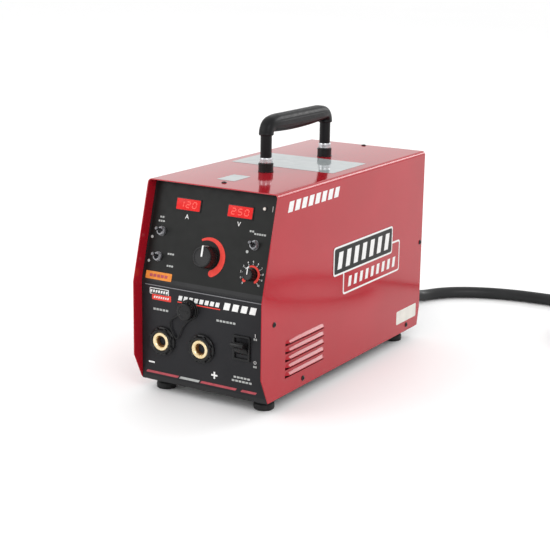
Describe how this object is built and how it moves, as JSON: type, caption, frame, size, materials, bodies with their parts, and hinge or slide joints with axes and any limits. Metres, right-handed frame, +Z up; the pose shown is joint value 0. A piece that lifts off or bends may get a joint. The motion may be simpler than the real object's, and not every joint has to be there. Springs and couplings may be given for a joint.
{
  "type": "stick welder",
  "caption": "Portable inverter stick welder: bent sheet-metal case with leaning control panel, weld sockets, side louvres, carrying handle, rubber feet and mains cord",
  "frame": {"origin": "on the floor under the middle of the case", "axes": "+Z up, the control panels face -Y, +X to the right seen from the front"},
  "size_m": [0.6961, 0.8255, 0.4015],
  "materials": {
    "red_paint": "gloss powder coat",
    "black_paint": "satin powder coat",
    "black_plastic": "moulded, satin",
    "black_rubber": "matte",
    "brass": "turned",
    "bright_steel": "bright plated",
    "aluminium": "plain",
    "copper": "enamelled copper wire",
    "ferrite": "sintered ferrite",
    "circuit_board": "solder mask",
    "red_lens": "clear tinted",
    "grey_cord": "matte"
  },
  "bodies": {
    "case": {"base_pan": "black_paint", "cap_lanyard": "grey_cord", "capacitor_1": "black_plastic", "capacitor_2": "black_plastic", "capacitor_3": "black_plastic", "control_board": "circuit_board", "cord_coil": "black_rubber", "cord_gland": "black_rubber", "cord_plug": "black_rubber", "cord_tail": "black_rubber", "cover": "red_paint", "display_left": "red_lens", "display_right": "red_lens", "fan_frame": "black_plastic", "fan_guard": "bright_steel", "foot_front_left": "black_rubber", "foot_front_right": "black_rubber", "foot_rear_left": "black_rubber", "foot_rear_right": "black_rubber", "force_potentiometer": "bright_steel", "front_panel": "black_paint", "handle_boss_front": "black_plastic", "handle_boss_rear": "black_plastic", "handle_collar_front": "bright_steel", "handle_collar_rear": "bright_steel", "handle_grip": "black_rubber", "handle_post_front": "black_paint", "handle_post_rear": "black_paint", "heat_sink": "aluminium", "input_rectifier": "black_plastic", "output_choke": "copper", "output_potentiometer": "bright_steel", "power_board": "circuit_board", "power_cord": "black_rubber", "power_switch_body": "black_plastic", "rear_panel": "black_paint", "remote_receptacle": "aluminium", "socket_housing_negative": "black_plastic", "socket_housing_positive": "black_plastic", "socket_insert_negative": "brass", "socket_insert_positive": "brass", "status_lamp": "red_lens", "toggle_body_lower_left": "bright_steel", "toggle_body_right": "bright_steel", "toggle_body_upper_left": "bright_steel", "transformer_core": "ferrite", "transformer_winding": "copper"},
    "output_knob": {"output_knob": "black_plastic"},
    "force_knob": {"force_knob": "black_plastic"},
    "upper_left_lever": {"toggle_lever_upper_left": "bright_steel"},
    "lower_left_lever": {"toggle_lever_lower_left": "bright_steel"},
    "right_lever": {"toggle_lever_right": "bright_steel"},
    "power_paddle": {"power_switch_paddle": "black_plastic"},
    "fan": {"fan_rotor": "black_plastic"},
    "dust_cap": {"receptacle_cap": "black_plastic"}
  },
  "joints": [
    {"name": "output_knob_turn", "type": "hinge", "parent": "case", "child": "output_knob", "pos_m": [0, -0.22143, 0.21491], "axis": [0, -0.9657, 0.2595], "range_deg": [-150, 150]},
    {"name": "force_knob_turn", "type": "hinge", "parent": "case", "child": "force_knob", "pos_m": [0.076, -0.2252, 0.2009], "axis": [0, -0.9657, 0.2595], "range_deg": [-150, 150]},
    {"name": "upper_left_lever_tilt", "type": "hinge", "parent": "case", "child": "upper_left_lever", "pos_m": [-0.086, -0.21526, 0.24173], "axis": [1, 0, 0], "range_deg": [0, 24]},
    {"name": "lower_left_lever_tilt", "type": "hinge", "parent": "case", "child": "lower_left_lever", "pos_m": [-0.086, -0.22499, 0.20551], "axis": [1, 0, 0], "range_deg": [0, 24]},
    {"name": "right_lever_tilt", "type": "hinge", "parent": "case", "child": "right_lever", "pos_m": [0.074, -0.21526, 0.24173], "axis": [1, 0, 0], "range_deg": [0, 24]},
    {"name": "power_paddle_rock", "type": "hinge", "parent": "case", "child": "power_paddle", "pos_m": [0.0665, -0.2265, 0.0945], "axis": [1, 0, 0], "range_deg": [0, 40]},
    {"name": "fan_spin", "type": "hinge", "parent": "case", "child": "fan", "pos_m": [0, 0.225, 0.205], "axis": [0, 1, 0], "continuous": true},
    {"name": "dust_cap_turn", "type": "hinge", "parent": "case", "child": "dust_cap", "pos_m": [-0.024, -0.2335, 0.1365], "axis": [0, -1, 0], "range_deg": [0, 90]}
  ]
}
